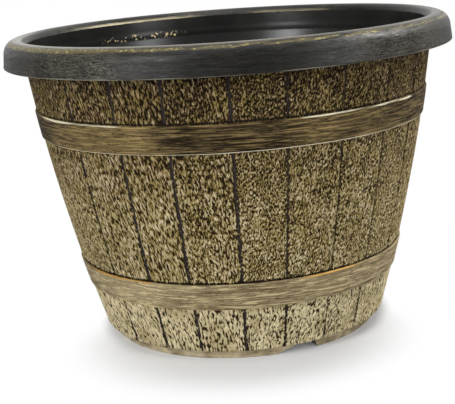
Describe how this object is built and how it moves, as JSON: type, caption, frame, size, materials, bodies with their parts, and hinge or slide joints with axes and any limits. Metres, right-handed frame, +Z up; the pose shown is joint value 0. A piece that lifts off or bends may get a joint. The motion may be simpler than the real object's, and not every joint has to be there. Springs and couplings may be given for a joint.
{
  "type": "half barrel planter",
  "caption": "Round tapered planter shaped like half a barrel, with moulded staves, hoops, a deep rolled rim, a notched foot ring and pull-out drain plugs.",
  "frame": {"origin": "centre of the foot ring's underside, on the surface that the pot stands on", "axes": "+Z up along the pot's axis; -Y is the side that the picture shows"},
  "size_m": [0.3298, 0.3298, 0.226],
  "materials": {
    "wall": "rough wood grain relief in near-black plastic, dry-brushed with antique gold paint",
    "plug": "black soft rubber"
  },
  "bodies": {
    "pot": {"planter_shell": "wall"},
    "plug_1": {"drain_plug_1": "plug"},
    "plug_2": {"drain_plug_2": "plug"},
    "plug_3": {"drain_plug_3": "plug"},
    "plug_4": {"drain_plug_4": "plug"}
  },
  "joints": [
    {"name": "plug_1_pull", "type": "slide", "parent": "pot", "child": "plug_1", "axis": [0, 0, 1], "range_m": [0, 0.03]},
    {"name": "plug_2_pull", "type": "slide", "parent": "pot", "child": "plug_2", "axis": [0, 0, 1], "range_m": [0, 0.03]},
    {"name": "plug_3_pull", "type": "slide", "parent": "pot", "child": "plug_3", "axis": [0, 0, 1], "range_m": [0, 0.03]},
    {"name": "plug_4_pull", "type": "slide", "parent": "pot", "child": "plug_4", "axis": [0, 0, 1], "range_m": [0, 0.03]}
  ]
}
